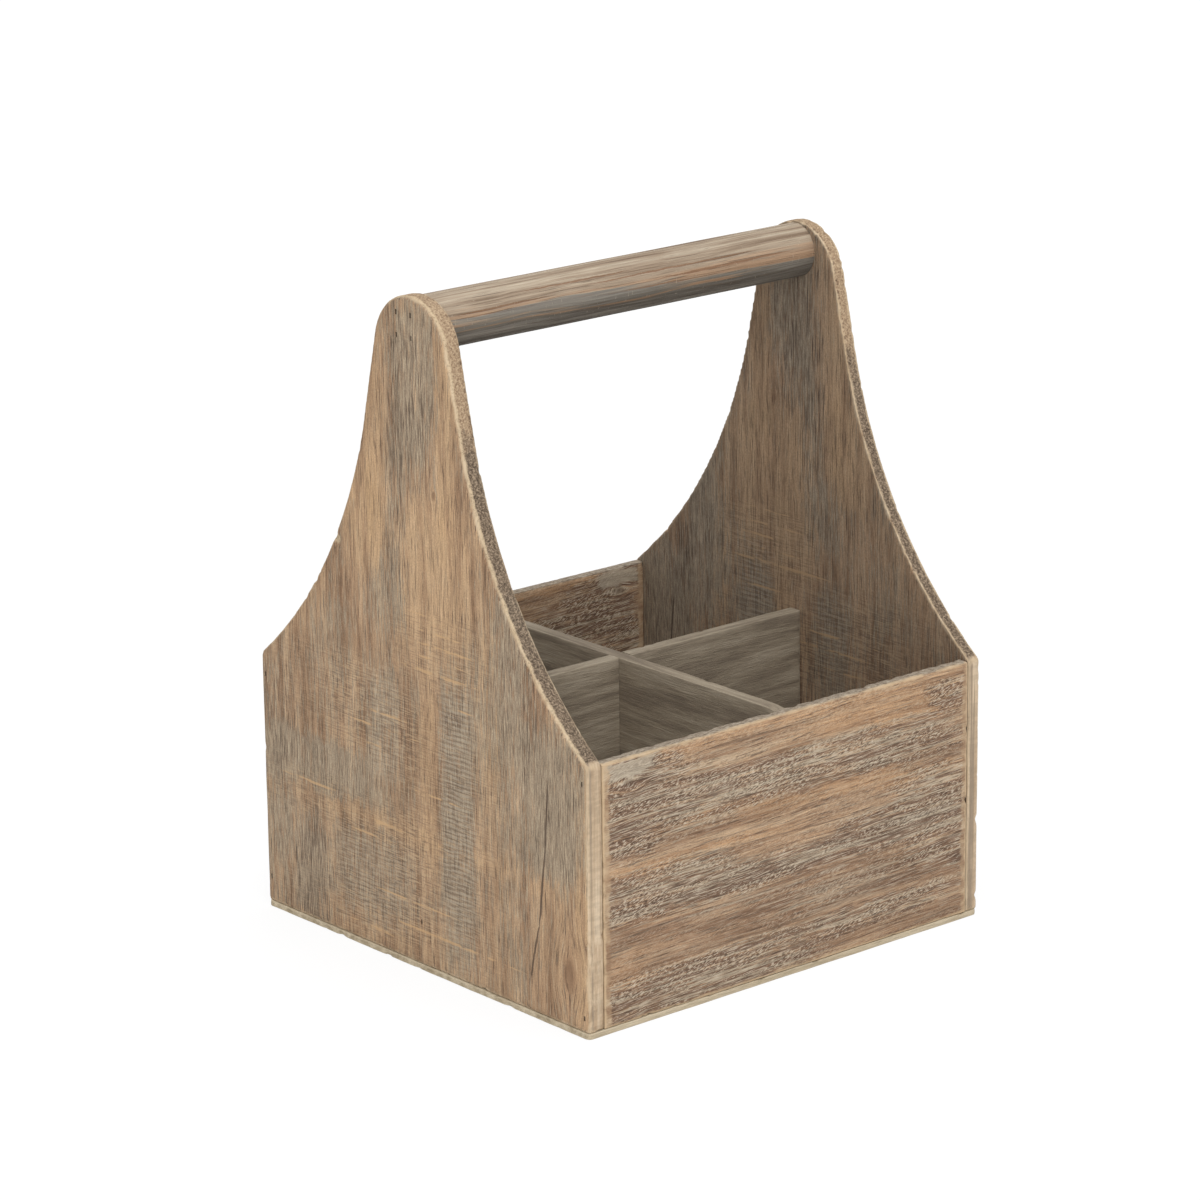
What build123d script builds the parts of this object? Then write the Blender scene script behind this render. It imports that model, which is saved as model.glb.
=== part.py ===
from build123d import *
import os
from math import atan2, cos, degrees, sin

# An open caddy with four cells, nailed together from reclaimed boards.
# Two shaped gables hold a round handle between their crowns. Front and rear panels
# close the box between them, a thin base is nailed on from below, and two boards
# halved into each other part the box into its cells.
# Origin: centre of the base's underside. X runs along the handle, the front faces -Y,
# and Z is up. All lengths are in millimetres.

os.makedirs("parts", exist_ok=True)

# Overall sizes
overall_width = 233.0
overall_depth = 228.0
overall_height = 306.5

# Board stock
left_gable_thickness = 9.0
right_gable_thickness = 7.5
panel_thickness = 6.0
divider_thickness = 7.0
base_thickness = 3.0

# Box: floor to the top of the panels, where the gables' shoulders are
rim_height = 122.5

# Gable outline: a round crown, a straight flaring neck and one long hollow sweep
crown_radius = 25.0
neck_drop = 37.5
neck_spread = 8.6
shoulder_radius = 1.2

# Handle: a round rod that butts against both gables
handle_diameter = 25.0
handle_below_crown = 13.2

# Worn arrises
gable_outer_arris = 0.9
gable_inner_arris = 0.6
panel_top_arris = 1.6
panel_seam_arris = 0.3
divider_arris = 0.6
base_corner_radius = 2.5
base_arris = 0.5
divider_end_pared = 7.0
divider_end_drop = 1.0

# Halving joint between the two dividers
lap_clearance = 0.3

# Brads: flat wire with a chisel point and a narrow head, driven just below the surface
brad_width = 1.4
brad_breadth = 1.0
brad_head_width = 2.2
brad_head_thickness = 0.7
brad_point = 2.0
brad_sink = 0.4
brad_fit = 0.05
wall_brad_length = 25.0
base_brad_length = 14.0

# Brad places, above the base or below the rim
front_brad_above_base = 6.5
front_brad_below_rim = 7.5
rear_brad_above_base = 12.0
rear_brad_below_rim = 10.0
divider_brad_above_base = 20.0
handle_brad_offset = 5.0
handle_brad_shift = 3.5
base_brad_clearance = 6.0

# Sizes that follow from the ones above
half_width = overall_width / 2
half_depth = overall_depth / 2
inner_left = left_gable_thickness - half_width
inner_right = half_width - right_gable_thickness
inner_width = inner_right - inner_left
inner_middle = (inner_left + inner_right) / 2
inner_depth = overall_depth - 2 * panel_thickness
wall_height = rim_height - base_thickness
lap_height = base_thickness + wall_height / 2
lap_slot = divider_thickness + lap_clearance
handle_height = overall_height - handle_below_crown
brad_hole_breadth = brad_breadth + 2 * brad_fit
brad_hole_width = brad_width + 2 * brad_fit
brad_mouth_width = brad_head_width + 2 * brad_fit
brad_mouth_depth = brad_sink + brad_head_thickness + brad_fit
base_brad_end = brad_sink + wall_brad_length + base_brad_clearance

# Points of the gable's outline, right of its centreline
neck_lean = atan2(neck_spread, neck_drop)
crown_centre_height = overall_height - crown_radius
neck_top = (crown_radius * cos(neck_lean), crown_centre_height + crown_radius * sin(neck_lean))
neck_foot = (neck_top[0] + neck_spread, neck_top[1] - neck_drop)
shoulder = (half_depth, rim_height)


def wall_spots(side, places):
    """Planes on the outer face of the left (-1) or right (+1) gable, X up the grain, facing out."""
    return [Plane(origin=(side * half_width, y, z), x_dir=(0, 0, 1), z_dir=(side, 0, 0)) for y, z in places]


def floor_spots(places):
    """Planes on the underside of the base, X along the grain, facing down."""
    return [Plane(origin=(x, y, 0), x_dir=(1, 0, 0), z_dir=(0, 0, -1)) for x, y in places]


def base_steps(half_length):
    """Even steps for four base brads, whose outer ones stay clear of the wall brads."""
    outer = half_length - base_brad_end
    return (-outer, -outer / 3, outer / 3, outer)


def pierce(spots, length):
    """The slots that brads leave in the part being built, with mouths for their sunk heads."""
    inwards = (Align.CENTER, Align.CENTER, Align.MAX)
    with Locations(*spots):
        Box(brad_hole_width, brad_hole_breadth, brad_sink + length + brad_fit, align=inwards, mode=Mode.SUBTRACT)
        Box(brad_mouth_width, brad_hole_breadth, brad_mouth_depth, align=inwards, mode=Mode.SUBTRACT)


def save(builder, label):
    """Labels a finished piece and writes it to its own file."""
    builder.part.label = label
    export_step(builder.part, f"parts/{label}.step")


def brads(label, spots, length):
    """A group of separate brads, each cut from flat wire: head, shank and chisel point.

    In each side view, Y runs down the brad from the top of its head.
    """
    half_head = brad_head_width / 2
    half_shank = brad_width / 2
    with BuildPart() as group:
        for spot in spots:
            side_view = Plane(origin=spot.offset(-brad_sink).origin, x_dir=spot.x_dir, z_dir=spot.y_dir)
            with BuildSketch(side_view):
                with BuildLine():
                    Polyline(
                        (0, 0),
                        (half_head, 0),
                        (half_head, brad_head_thickness),
                        (half_shank, brad_head_thickness),
                        (half_shank, length - brad_point),
                        (0, length),
                    )
                    mirror(about=Plane.YZ)
                make_face()
            extrude(amount=brad_breadth / 2, both=True)
    save(group, label)


# Where the brads go. Wall brads enter the gables, base brads the base.
front_brad_heights = (base_thickness + front_brad_above_base, rim_height - front_brad_below_rim)
rear_brad_heights = (base_thickness + rear_brad_above_base, rim_height - rear_brad_below_rim)
panel_middle = half_depth - panel_thickness / 2
left_gable_middle = left_gable_thickness / 2 - half_width
right_gable_middle = half_width - right_gable_thickness / 2

handle_places = [
    (handle_brad_shift + across, handle_height + up)
    for across in (-handle_brad_offset, handle_brad_offset)
    for up in (-handle_brad_offset, handle_brad_offset)
]
corner_places = {
    "front": [(-panel_middle, z) for z in front_brad_heights],
    "rear": [(panel_middle, z) for z in rear_brad_heights],
}
divider_places = [(0, base_thickness + divider_brad_above_base)]
base_spots = {
    "front": floor_spots([(x, -panel_middle) for x in base_steps(half_width)]),
    "rear": floor_spots([(x, panel_middle) for x in base_steps(half_width)]),
    "left": floor_spots([(left_gable_middle, y) for y in base_steps(half_depth)]),
    "right": floor_spots([(right_gable_middle, y) for y in base_steps(half_depth)]),
}
sides = {"left": -1, "right": 1}
gable_thicknesses = {"left": left_gable_thickness, "right": right_gable_thickness}
faces = {"front": -1, "rear": 1}

# Gables: one board each, with the grain upright. The left one is the thicker.
for hand, side in sides.items():
    with BuildPart() as gable:
        with BuildSketch(Plane(origin=(side * half_width, 0, 0), x_dir=(0, 1, 0), z_dir=(1, 0, 0))):
            with BuildLine():
                crown = CenterArc(
                    (0, crown_centre_height),
                    crown_radius,
                    start_angle=degrees(neck_lean),
                    arc_size=90 - degrees(neck_lean),
                )
                neck = Line(crown @ 0, neck_foot)
                TangentArc(neck_foot, shoulder, tangent=neck % 1)
                Line(shoulder, (half_depth, base_thickness))
                mirror(about=Plane.YZ)
                Line((half_depth, base_thickness), (-half_depth, base_thickness))
            make_face()
        extrude(amount=-side * gable_thicknesses[hand])
        fillet(gable.edges().filter_by(Axis.X).group_by(Axis.Z)[1], shoulder_radius)
        skins = gable.faces().filter_by(Axis.X).sort_by(Axis.X, reverse=side > 0)
        outer_rim = skins.first.edges().sort_by(Axis.Z)[1:]
        fillet(outer_rim, gable_outer_arris)
        skins = gable.faces().filter_by(Axis.X).sort_by(Axis.X, reverse=side > 0)
        inner_rim = skins.last.edges().sort_by(Axis.Z)[1:]
        chamfer(inner_rim, gable_inner_arris)
        wall_places = handle_places + divider_places + corner_places["front"] + corner_places["rear"]
        pierce(wall_spots(side, wall_places), wall_brad_length)
        pierce(base_spots[hand], base_brad_length)
    save(gable, f"gable_{hand}")

# Front and rear panels: butted between the gables, standing on the base
for name, face in faces.items():
    with BuildPart() as panel:
        with Locations((inner_middle, face * panel_middle, base_thickness)):
            Box(inner_width, panel_thickness, wall_height, align=(Align.CENTER, Align.CENTER, Align.MIN))
        outer_seams = panel.edges().filter_by(Axis.Z).sort_by(Axis.Y, reverse=face > 0)[:2]
        fillet(outer_seams, panel_seam_arris)
        top_rim = panel.faces().sort_by(Axis.Z).last.edges().filter_by(Axis.X)
        fillet(top_rim.sort_by(Axis.Y, reverse=face > 0).first, panel_top_arris)
        top_rim = panel.faces().sort_by(Axis.Z).last.edges().filter_by(Axis.X)
        fillet(top_rim.sort_by(Axis.Y, reverse=face > 0).last, divider_arris)
        for side in sides.values():
            pierce(wall_spots(side, corner_places[name]), wall_brad_length)
        pierce(base_spots[name], base_brad_length)
    save(panel, f"{name}_panel")

# Base: a thin board under all four walls
with BuildPart() as base:
    Box(overall_width, overall_depth, base_thickness, align=(Align.CENTER, Align.CENTER, Align.MIN))
    fillet(base.edges().filter_by(Axis.Z), base_corner_radius)
    fillet(base.faces().sort_by(Axis.Z).first.edges(), base_arris)
    for spots in base_spots.values():
        pierce(spots, base_brad_length)
save(base, "base_board")

# Long divider: runs along the handle and is slotted from above
with BuildPart() as long_divider:
    with Locations((inner_middle, 0, base_thickness)):
        Box(inner_width, divider_thickness, wall_height, align=(Align.CENTER, Align.CENTER, Align.MIN))
    fillet(long_divider.faces().sort_by(Axis.Z).last.edges().filter_by(Axis.X), divider_arris)
    with Locations((inner_middle, 0, lap_height)):
        Box(
            lap_slot,
            lap_slot,
            wall_height,
            align=(Align.CENTER, Align.CENTER, Align.MIN),
            mode=Mode.SUBTRACT,
        )
    for side in sides.values():
        pierce(wall_spots(side, divider_places), wall_brad_length)
save(long_divider, "long_divider")

# Cross divider: runs from front to rear, is slotted from below and drops over the long one
with BuildPart() as cross_divider:
    with Locations((inner_middle, 0, base_thickness)):
        Box(divider_thickness, inner_depth, wall_height, align=(Align.CENTER, Align.CENTER, Align.MIN))
    # Its front end is pared away a little where it meets the panel
    front_end = cross_divider.edges().filter_by(Axis.X).group_by(Axis.Z)[-1].sort_by(Axis.Y).first
    top_face = cross_divider.faces().sort_by(Axis.Z).last
    chamfer(front_end, length=divider_end_pared, length2=divider_end_drop, reference=top_face)
    fillet(cross_divider.faces().sort_by(Axis.Z).last.edges().filter_by(Axis.Y), divider_arris)
    with Locations((inner_middle, 0, lap_height + lap_clearance)):
        Box(
            lap_slot,
            lap_slot,
            wall_height,
            align=(Align.CENTER, Align.CENTER, Align.MAX),
            mode=Mode.SUBTRACT,
        )
save(cross_divider, "cross_divider")

# Handle: a round rod between the gables' crowns
with BuildPart() as handle:
    with BuildSketch(Plane(origin=(inner_left, 0, handle_height), z_dir=(1, 0, 0))):
        Circle(handle_diameter / 2)
    extrude(amount=inner_width)
    for side in sides.values():
        pierce(wall_spots(side, handle_places), wall_brad_length)
save(handle, "handle")

# Brads, one group for each joint
for hand, side in sides.items():
    brads(f"handle_brads_{hand}", wall_spots(side, handle_places), wall_brad_length)
    brads(f"divider_brads_{hand}", wall_spots(side, divider_places), wall_brad_length)
    for name in faces:
        brads(f"corner_brads_{name}_{hand}", wall_spots(side, corner_places[name]), wall_brad_length)
for edge, spots in base_spots.items():
    brads(f"base_brads_{edge}", spots, base_brad_length)
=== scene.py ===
"""Finish of an open wooden caddy: reclaimed boards, a round handle and wire brads around the frame."""

import math
import random

import bmesh
import bpy
import numpy as np
from mathutils import Matrix, Vector, noise
from mathutils.kdtree import KDTree


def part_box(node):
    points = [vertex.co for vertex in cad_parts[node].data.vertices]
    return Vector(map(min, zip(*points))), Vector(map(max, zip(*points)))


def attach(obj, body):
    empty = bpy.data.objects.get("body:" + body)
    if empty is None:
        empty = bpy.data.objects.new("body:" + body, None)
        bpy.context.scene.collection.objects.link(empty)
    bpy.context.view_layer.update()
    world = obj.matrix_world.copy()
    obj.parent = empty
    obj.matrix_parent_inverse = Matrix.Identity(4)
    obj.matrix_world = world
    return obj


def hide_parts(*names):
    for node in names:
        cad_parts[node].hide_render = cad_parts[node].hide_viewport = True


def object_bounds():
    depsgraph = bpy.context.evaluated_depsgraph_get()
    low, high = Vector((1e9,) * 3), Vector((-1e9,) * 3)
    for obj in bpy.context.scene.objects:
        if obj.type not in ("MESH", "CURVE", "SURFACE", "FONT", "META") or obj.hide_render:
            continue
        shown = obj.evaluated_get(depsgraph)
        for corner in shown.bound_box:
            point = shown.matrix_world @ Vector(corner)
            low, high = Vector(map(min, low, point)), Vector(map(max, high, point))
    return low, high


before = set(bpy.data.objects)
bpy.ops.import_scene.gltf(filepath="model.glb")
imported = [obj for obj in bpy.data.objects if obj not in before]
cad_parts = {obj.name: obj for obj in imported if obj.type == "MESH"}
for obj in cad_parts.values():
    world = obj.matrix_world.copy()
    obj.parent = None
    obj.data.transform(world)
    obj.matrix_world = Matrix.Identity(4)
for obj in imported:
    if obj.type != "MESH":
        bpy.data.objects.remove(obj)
cad_low, cad_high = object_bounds()

mm = 0.001
X, Y, Z = range(3)
rim_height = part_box("front_panel")[1].z

# Gable outline, as the boards were cut
crown_radius = 25.0 * mm
neck_drop = 37.5 * mm
neck_spread = 8.6 * mm
shoulder_radius = 1.2 * mm
crown_steps = 20
sweep_steps = 60
rod_segments = 96

# Rounding of the arrises before any wear
gable_outer_arris = 0.9 * mm
board_arris = 0.4 * mm
panel_top_arris = 1.6 * mm
base_corner_radius = 2.5 * mm

# Joints
lap_clearance = 0.3 * mm
pared_length = 7.0 * mm
pared_drop = 1.0 * mm
brad_mouth_depth = 1.2 * mm
brad_fit = 0.06 * mm
weld = mm / 100
sliver = mm / 200

# Mesh steps, and how deep age has cut
gable_step = 1.06 * mm
fine_step = 1.1 * mm
long_step = 1.8 * mm
wear_reach = 2.4 * mm
wear_depth = 0.3 * mm
relief_depth = 0.1 * mm

# How deep the grain shows in the finish, on brushed wood and on smooth wood
brushed_relief = 0.45 * mm
smooth_relief = 0.35 * mm

# Grain of the wear, in millimetres: furrows along the board, slow rubbing and fine grit
furrow_width, furrow_length = 2.4, 45
rub_width, rub_length = 9, 16
grit_size = 1.6

# Camera, as the photograph was taken
view_azimuth = math.radians(-40.3761)
view_elevation = math.radians(16.4637)
view_roll = math.radians(-0.6293)
view_distance = 2.20731
view_target = Vector((0.034934, 0.053712, 0.129606))
view_lens = 142.571


# Modelling

def blank_of(boxes):
    """A blank of square-edged boxes, each given by two corners."""
    bm = bmesh.new()
    for low, high in boxes:
        verts = bmesh.ops.create_cube(bm, size=1.0)["verts"]
        bmesh.ops.scale(bm, vec=high - low, verts=verts)
        bmesh.ops.translate(bm, vec=(low + high) / 2, verts=verts)
    return bm


def arc(bm, vert, centre, angle, steps):
    """Carries a vertex round a centre in the board's plane, and gives the arc's last vertex."""
    made = bmesh.ops.spin(bm, geom=[vert], cent=centre, axis=(1, 0, 0), angle=angle, steps=steps)
    return [v for v in made["geom_last"] if isinstance(v, bmesh.types.BMVert)][0]


def straight(bm, vert, step):
    """Draws a straight line on from a vertex, and gives its end."""
    made = bmesh.ops.extrude_vert_indiv(bm, verts=[vert])
    bmesh.ops.translate(bm, vec=step, verts=made["verts"])
    return made["verts"][0]


def gable_blank(low, high):
    """A gable between two corners: round crown, flaring neck, and one hollow sweep to each shoulder."""
    bm = bmesh.new()
    lean = math.atan2(neck_spread, neck_drop)
    crown_centre = Vector((low.x, 0, high.z - crown_radius))
    top = bm.verts.new((low.x, 0, high.z))
    neck = arc(bm, top, crown_centre, -(math.pi / 2 - lean), crown_steps)
    foot = straight(bm, neck, (0, neck_spread, -neck_drop))
    chord = Vector((0, high.y - foot.co.y, rim_height - foot.co.z))
    outwards = Vector((0, math.cos(lean), math.sin(lean)))
    sweep_radius = chord.length_squared / (2 * chord.dot(outwards))
    sweep_centre = foot.co + outwards * sweep_radius
    sweep_angle = 2 * math.asin(chord.length / 2 / sweep_radius)
    shoulder = arc(bm, foot, sweep_centre, sweep_angle, sweep_steps)
    toe = straight(bm, shoulder, (0, 0, low.z - shoulder.co.z))
    straight(bm, toe, (0, -toe.co.y, 0))
    bmesh.ops.mirror(bm, geom=bm.verts[:] + bm.edges[:], axis="Y", merge_dist=weld)
    bmesh.ops.remove_doubles(bm, verts=bm.verts, dist=weld)
    bmesh.ops.contextual_create(bm, geom=bm.edges[:])
    made = bmesh.ops.extrude_face_region(bm, geom=bm.faces[:])
    moved = [v for v in made["geom"] if isinstance(v, bmesh.types.BMVert)]
    bmesh.ops.translate(bm, vec=(high.x - low.x, 0, 0), verts=moved)
    bmesh.ops.recalc_face_normals(bm, faces=bm.faces)
    return bm


def rod_blank(low, high):
    """A round rod lying along X between two corners."""
    bm = bmesh.new()
    radius = (high.z - low.z) / 2
    size = {"radius1": radius, "radius2": radius, "depth": high.x - low.x}
    place = Matrix.Translation((low + high) / 2) @ Matrix.Rotation(math.pi / 2, 4, "Y")
    bmesh.ops.create_cone(bm, cap_ends=True, segments=rod_segments, matrix=place, **size)
    return bm


def sharp_edges(bm, angle=math.radians(30)):
    """The edges that turn by more than an angle."""
    return [e for e in bm.edges if len(e.link_faces) == 2 and e.calc_face_angle() > angle]


def tree_of(points):
    """A search tree over points."""
    tree = KDTree(len(points))
    for number, point in enumerate(points):
        tree.insert(point, number)
    tree.balance()
    return tree


def arris_tree(bm, spacing=0.6 * mm):
    """Points along every arris of a blank, for telling how near a place is to one."""
    points = []
    for edge in sharp_edges(bm):
        a, b = (v.co for v in edge.verts)
        steps = max(1, math.ceil((b - a).length / spacing))
        points += [a.lerp(b, i / steps) for i in range(steps + 1)]
    return tree_of(points), points


def ease(bm, edges, offset, segments=3):
    """Rounds the chosen edges."""
    shape = {"affect": "EDGES", "profile": 0.5, "material": -1, "clamp_overlap": True}
    bmesh.ops.bevel(bm, geom=edges, offset=offset, segments=segments, **shape)


def along(edge, axis):
    """True if an edge runs along that axis, or nearly so."""
    run = edge.verts[1].co - edge.verts[0].co
    return abs(run[axis]) > 0.9 * run.length


def divide(bm, steps):
    """Cuts a board's long edges into even steps along each axis, which gives its faces an even grid."""
    for axis, step in enumerate(steps):
        spans = [v.co[axis] for v in bm.verts]
        length = max(spans) - min(spans)
        edges = [e for e in bm.edges if along(e, axis) and e.calc_length() > length / 2]
        cuts = max(1, round(length / step) - 1)
        bmesh.ops.subdivide_edges(bm, edges=edges, cuts=cuts, use_grid_fill=True)


def put(name, bm):
    """Makes a named piece of a finished blank."""
    mesh = bpy.data.meshes.new(name)
    bm.to_mesh(mesh)
    bm.free()
    piece = bpy.data.objects.new(name, mesh)
    bpy.context.scene.collection.objects.link(piece)
    return piece


def settle(piece):
    """Applies a piece's modifiers to its mesh."""
    depsgraph = bpy.context.evaluated_depsgraph_get()
    finished = bpy.data.meshes.new_from_object(piece.evaluated_get(depsgraph))
    piece.modifiers.clear()
    piece.data = finished


def even_out(piece, step):
    """Gives a piece an even mesh of that step."""
    remesh = piece.modifiers.new("even mesh", "REMESH")
    remesh.mode = "VOXEL"
    remesh.voxel_size = step
    settle(piece)


def drop_slivers(piece):
    """Takes out the hair-thin faces that a cut can leave."""
    bm = bmesh.new()
    bm.from_mesh(piece.data)
    bmesh.ops.dissolve_degenerate(bm, dist=sliver, edges=bm.edges)
    bmesh.ops.triangulate(bm, faces=bm.faces)
    bm.to_mesh(piece.data)
    bm.free()


def cut(piece, boxes):
    """Cuts boxes, each given by two corners, out of a piece."""
    cutter = put("cutter", blank_of(boxes))
    boolean = piece.modifiers.new("cut", "BOOLEAN")
    boolean.operation = "DIFFERENCE"
    boolean.solver = "MANIFOLD"
    boolean.object = cutter
    settle(piece)
    bpy.data.objects.remove(cutter)
    drop_slivers(piece)


def soft(value):
    """Smooth fall from 1 at value 0 to 0 at value 1."""
    value = min(max(value, 0.0), 1.0)
    return 1 - value * value * (3 - 2 * value)


def places_of(mesh):
    """The places of a mesh's points, one to a row."""
    places = np.empty(len(mesh.vertices) * 3)
    mesh.vertices.foreach_get("co", places)
    return places.reshape(-1, 3)


def sink(piece, depths):
    """Moves each point of a piece inwards by its own depth."""
    mesh = piece.data
    normals = np.empty(len(mesh.vertices) * 3)
    mesh.vertex_normals.foreach_get("vector", normals)
    moved = places_of(mesh) - normals.reshape(-1, 3) * np.array(depths)[:, None]
    mesh.vertices.foreach_set("co", moved.ravel())
    mesh.update()


def age(piece, tree, grain, seed, wear=wear_depth, relief=relief_depth):
    """Wears the arrises down unevenly and brushes shallow furrows along the grain, always inwards."""
    stretch = Vector([1 / furrow_width] * 3)
    stretch[grain] = 1 / furrow_length
    slow = Vector([1 / rub_width] * 3)
    slow[grain] = 1 / rub_length
    offset = Vector((seed, seed * 1.7, seed * 0.6))
    depths = []
    for place in places_of(piece.data):
        here = Vector(place) / mm
        distance = tree.find(place)[2]
        furrow = 0.5 + 0.5 * noise.noise(here * stretch + offset)
        depth = relief * furrow * furrow
        if distance < wear_reach:
            rub = 0.5 + 0.5 * noise.noise(here * slow + offset)
            grit = 0.5 + 0.5 * noise.noise(here / grit_size + offset)
            depth += wear * soft(distance / wear_reach) * (0.15 + 0.6 * rub + 0.45 * rub * grit)
        depths.append(depth)
    sink(piece, depths)


def chip(piece, chips):
    """Small chips, each given by its place, radius and depth."""
    places = places_of(piece.data)
    tree = tree_of(places)
    depths = np.zeros(len(places))
    for place, radius, depth in chips:
        for _, number, distance in tree.find_range(place, radius):
            depths[number] += depth * soft(distance / radius)
    sink(piece, depths)


def random_chips(points, count, seed):
    """Chips scattered along the arrises."""
    draw = random.Random(seed)
    return [
        (draw.choice(points), draw.uniform(1.2, 3.2) * mm, draw.uniform(0.2, 0.8) * mm)
        for _ in range(count)
    ]


def top_chips(node, side, count, seed):
    """Shallow chips that leave a board's top edge uneven on the side that looks to +Y or -Y."""
    low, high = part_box(node)
    draw = random.Random(seed)
    y = high.y if side > 0 else low.y
    chips = []
    for _ in range(count):
        place = Vector((draw.uniform(low.x, high.x), y, high.z))
        chips.append((place, draw.uniform(1.6, 3.4) * mm, draw.uniform(0.15, 0.5) * mm))
    return chips


def islands(node):
    """The boxes of a CAD node's separate solids."""
    bm = bmesh.new()
    bm.from_mesh(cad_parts[node].data)
    bmesh.ops.remove_doubles(bm, verts=bm.verts, dist=mm / 1000)
    left = set(bm.verts)
    boxes = []
    while left:
        found = [left.pop()]
        for vert in found:
            for edge in vert.link_edges:
                other = edge.other_vert(vert)
                if other in left:
                    left.remove(other)
                    found.append(other)
        places = [v.co for v in found]
        boxes.append((Vector(map(min, zip(*places))), Vector(map(max, zip(*places)))))
    bm.free()
    return boxes


def mouths(node, axis, side):
    """Boxes that open the wood over a node's brad heads, on the face that looks to that side of an axis."""
    boxes = []
    for low, high in islands(node):
        if side > 0:
            low[axis] = high[axis] - brad_mouth_depth
            high[axis] += 2 * mm
        else:
            high[axis] = low[axis] + brad_mouth_depth
            low[axis] -= 2 * mm
        for other in range(3):
            if other != axis:
                low[other] -= brad_fit
                high[other] += brad_fit
        boxes.append((low, high))
    return boxes


def note_arrises(piece, tree):
    """Stores each point's distance from the nearest arris, in millimetres, for the finish."""
    mesh = piece.data
    distances = [tree.find(v.co)[2] / mm for v in mesh.vertices]
    layer = mesh.attributes.new("arris", "FLOAT", "POINT")
    layer.data.foreach_set("value", distances)


def finish_piece(piece, node, tree, material):
    """Smooths a piece, gives it its wood and lets it stand for its CAD node."""
    note_arrises(piece, tree)
    mesh = piece.data
    mesh.polygons.foreach_set("use_smooth", [True] * len(mesh.polygons))
    mesh.set_sharp_from_angle(angle=math.radians(50))
    mesh.materials.clear()
    mesh.materials.append(material)
    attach(piece, "root")
    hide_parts(node)


def make_gable(side, hand, material, chips):
    """A gable with eased shoulders and outer arris, evenly meshed, worn, and opened over its brads."""
    node = f"gable_{hand}"
    low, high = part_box(node)
    bm = gable_blank(low, high)
    tree, points = arris_tree(bm)
    # The four corner edges come last but in no fixed order, so their points are put in order
    corners = next(n for n, p in enumerate(points) if low.x + mm / 10 < p.x < high.x - mm / 10) - 1
    points[corners:] = sorted(points[corners:], key=lambda p: (round(p.y, 6), round(p.z, 6), p.x))
    outer_x = high.x if side > 0 else low.x
    shoulders = [e for e in sharp_edges(bm) if along(e, X) and abs(e.verts[0].co.z - rim_height) < mm]
    ease(bm, shoulders, shoulder_radius, 5)
    outline = [e for e in sharp_edges(bm) if not along(e, X) and min(v.co.z for v in e.verts) > low.z - mm]
    rim = [e for e in outline if max(v.co.z for v in e.verts) > low.z + mm / 10]
    outer = [e for e in rim if all(abs(v.co.x - outer_x) < mm / 10 for v in e.verts)]
    ease(bm, outer, gable_outer_arris)
    piece = put(f"{hand}_gable_board", bm)
    even_out(piece, gable_step)
    age(piece, tree, Z, 11 + 5 * side)
    chip(piece, random_chips(points, 46, 7 + side) + chips)
    pockets = []
    for joint in ("handle_brads", "divider_brads", "corner_brads_front", "corner_brads_rear"):
        pockets += mouths(f"{joint}_{hand}", X, side)
    cut(piece, pockets)
    finish_piece(piece, node, tree, material)


def make_panel(side, name, material, chips):
    """A low wall with a rounded top arris outside."""
    node = f"{name}_panel"
    low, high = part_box(node)
    bm = blank_of([(low, high)])
    tree, points = arris_tree(bm)
    outer_y = high.y if side > 0 else low.y
    top = [e for e in bm.edges if along(e, X) and all(v.co.z > high.z - mm for v in e.verts)]
    top_outer = [e for e in top if all(abs(v.co.y - outer_y) < mm for v in e.verts)]
    ease(bm, top_outer, panel_top_arris, 4)
    ease(bm, sharp_edges(bm), board_arris, 2)
    divide(bm, (long_step, long_step, fine_step))
    piece = put(f"{name}_panel_board", bm)
    age(piece, tree, X, 31 + 5 * side)
    chip(piece, random_chips(points, 40, 17 + side) + chips)
    finish_piece(piece, node, tree, material)


def make_divider(name, grain, material, seed):
    """A divider with its half of the halving joint, the slot open above or below."""
    node = f"{name}_divider"
    low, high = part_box(node)
    bm = blank_of([(low, high)])
    tree, points = arris_tree(bm)
    ease(bm, sharp_edges(bm), board_arris, 2)
    divide(bm, (long_step, long_step, fine_step))
    piece = put(f"{name}_divider_board", bm)
    age(piece, tree, grain, seed, wear=0.4 * mm)
    chip(piece, random_chips(points, 24, seed))
    if name == "cross":
        for vert in piece.data.vertices:
            share = (vert.co.y - low.y) / pared_length
            if share < 1 and vert.co.z > high.z - 2 * mm:
                vert.co.z -= pared_drop * (1 - max(share, 0))
    long_low, long_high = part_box("long_divider")
    half_slot = (long_high.y - long_low.y + lap_clearance) / 2
    cross_low, cross_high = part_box("cross_divider")
    crossing = (cross_low + cross_high) / 2
    if name == "long":
        bottom, top = crossing.z, high.z + mm
    else:
        bottom, top = low.z - mm, crossing.z + lap_clearance
    slot_low = Vector((crossing.x - half_slot, crossing.y - half_slot, bottom))
    slot_high = Vector((crossing.x + half_slot, crossing.y + half_slot, top))
    cut(piece, [(slot_low, slot_high)])
    finish_piece(piece, node, tree, material)


def make_base(material):
    """The bottom board, with rounded corners and the mouths of its brads underneath."""
    low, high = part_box("base_board")
    bm = blank_of([(low, high)])
    upright = [e for e in bm.edges if along(e, Z)]
    ease(bm, upright, base_corner_radius, 6)
    tree, points = arris_tree(bm)
    ease(bm, sharp_edges(bm), board_arris, 2)
    divide(bm, (long_step, long_step, mm))
    piece = put("base_bottom_board", bm)
    age(piece, tree, X, 71, relief=0.06 * mm)
    chip(piece, random_chips(points, 30, 73))
    pockets = []
    for edge in ("front", "rear", "left", "right"):
        pockets += mouths(f"base_brads_{edge}", Z, -1)
    cut(piece, pockets)
    finish_piece(piece, "base_board", tree, material)


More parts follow.
